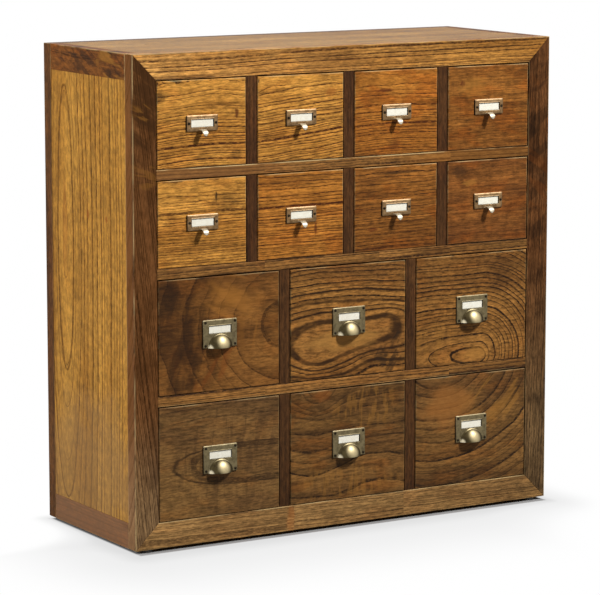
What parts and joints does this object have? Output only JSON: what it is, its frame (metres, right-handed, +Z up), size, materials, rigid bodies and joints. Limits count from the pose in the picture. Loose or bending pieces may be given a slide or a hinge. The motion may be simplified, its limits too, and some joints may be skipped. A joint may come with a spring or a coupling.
{
  "type": "chest of drawers",
  "caption": "Free-standing chest with rows of small and large inset drawers in a mitred frame-and-panel carcass, each drawer with a label-holder pull.",
  "frame": {"origin": "centre of the footprint (body and pulls) on the floor", "axes": "+Z up, +X to the viewer's right when facing the drawers, -Y out of the drawer fronts"},
  "size_m": [0.8, 0.323, 0.8],
  "materials": {
    "dark_wood": "satin varnish",
    "rail_wood": "satin varnish",
    "honey_wood": "satin varnish",
    "walnut": "satin varnish",
    "plain_wood": "sanded, unvarnished",
    "brass": "aged, satin",
    "card": "matt paper card",
    "glide_plastic": "matt"
  },
  "bodies": {
    "carcass": {"front_stile_left": "dark_wood", "front_stile_right": "dark_wood", "front_rail_top": "rail_wood", "front_rail_bottom": "rail_wood", "rear_stiles": "dark_wood", "rear_rails": "rail_wood", "side_rails": "dark_wood", "side_panel_left": "honey_wood", "side_panel_right": "honey_wood", "top_panel": "rail_wood", "bottom_panel": "plain_wood", "back_panel": "plain_wood", "row_rails": "rail_wood", "shelves": "plain_wood", "divider_posts": "dark_wood", "partitions": "plain_wood", "drawer_guides": "plain_wood", "glides": "glide_plastic"},
    "row1_drawer1": {"row1_drawer1_front": "honey_wood", "row1_drawer1_box": "plain_wood", "row1_drawer1_pull": "brass"},
    "row1_drawer2": {"row1_drawer2_front": "honey_wood", "row1_drawer2_box": "plain_wood", "row1_drawer2_pull": "brass"},
    "row1_drawer3": {"row1_drawer3_front": "honey_wood", "row1_drawer3_box": "plain_wood", "row1_drawer3_pull": "brass"},
    "row1_drawer4": {"row1_drawer4_front": "honey_wood", "row1_drawer4_box": "plain_wood", "row1_drawer4_pull": "brass"},
    "row2_drawer1": {"row2_drawer1_front": "honey_wood", "row2_drawer1_box": "plain_wood", "row2_drawer1_pull": "brass"},
    "row2_drawer2": {"row2_drawer2_front": "honey_wood", "row2_drawer2_box": "plain_wood", "row2_drawer2_pull": "brass"},
    "row2_drawer3": {"row2_drawer3_front": "honey_wood", "row2_drawer3_box": "plain_wood", "row2_drawer3_pull": "brass"},
    "row2_drawer4": {"row2_drawer4_front": "honey_wood", "row2_drawer4_box": "plain_wood", "row2_drawer4_pull": "brass"},
    "row3_drawer1": {"row3_drawer1_front": "walnut", "row3_drawer1_box": "plain_wood", "row3_drawer1_pull": "brass"},
    "row3_drawer2": {"row3_drawer2_front": "walnut", "row3_drawer2_box": "plain_wood", "row3_drawer2_pull": "brass"},
    "row3_drawer3": {"row3_drawer3_front": "walnut", "row3_drawer3_box": "plain_wood", "row3_drawer3_pull": "brass"},
    "row4_drawer1": {"row4_drawer1_front": "walnut", "row4_drawer1_box": "plain_wood", "row4_drawer1_pull": "brass"},
    "row4_drawer2": {"row4_drawer2_front": "walnut", "row4_drawer2_box": "plain_wood", "row4_drawer2_pull": "brass"},
    "row4_drawer3": {"row4_drawer3_front": "walnut", "row4_drawer3_box": "plain_wood", "row4_drawer3_pull": "brass"}
  },
  "joints": [
    {"name": "row1_drawer1_slide", "type": "slide", "parent": "carcass", "child": "row1_drawer1", "axis": [0, -1, 0], "range_m": [0, 0.2]},
    {"name": "row1_drawer2_slide", "type": "slide", "parent": "carcass", "child": "row1_drawer2", "axis": [0, -1, 0], "range_m": [0, 0.2]},
    {"name": "row1_drawer3_slide", "type": "slide", "parent": "carcass", "child": "row1_drawer3", "axis": [0, -1, 0], "range_m": [0, 0.2]},
    {"name": "row1_drawer4_slide", "type": "slide", "parent": "carcass", "child": "row1_drawer4", "axis": [0, -1, 0], "range_m": [0, 0.2]},
    {"name": "row2_drawer1_slide", "type": "slide", "parent": "carcass", "child": "row2_drawer1", "axis": [0, -1, 0], "range_m": [0, 0.2]},
    {"name": "row2_drawer2_slide", "type": "slide", "parent": "carcass", "child": "row2_drawer2", "axis": [0, -1, 0], "range_m": [0, 0.2]},
    {"name": "row2_drawer3_slide", "type": "slide", "parent": "carcass", "child": "row2_drawer3", "axis": [0, -1, 0], "range_m": [0, 0.2]},
    {"name": "row2_drawer4_slide", "type": "slide", "parent": "carcass", "child": "row2_drawer4", "axis": [0, -1, 0], "range_m": [0, 0.2]},
    {"name": "row3_drawer1_slide", "type": "slide", "parent": "carcass", "child": "row3_drawer1", "axis": [0, -1, 0], "range_m": [0, 0.2]},
    {"name": "row3_drawer2_slide", "type": "slide", "parent": "carcass", "child": "row3_drawer2", "axis": [0, -1, 0], "range_m": [0, 0.2]},
    {"name": "row3_drawer3_slide", "type": "slide", "parent": "carcass", "child": "row3_drawer3", "axis": [0, -1, 0], "range_m": [0, 0.2]},
    {"name": "row4_drawer1_slide", "type": "slide", "parent": "carcass", "child": "row4_drawer1", "axis": [0, -1, 0], "range_m": [0, 0.2]},
    {"name": "row4_drawer2_slide", "type": "slide", "parent": "carcass", "child": "row4_drawer2", "axis": [0, -1, 0], "range_m": [0, 0.2]},
    {"name": "row4_drawer3_slide", "type": "slide", "parent": "carcass", "child": "row4_drawer3", "axis": [0, -1, 0], "range_m": [0, 0.2]}
  ]
}
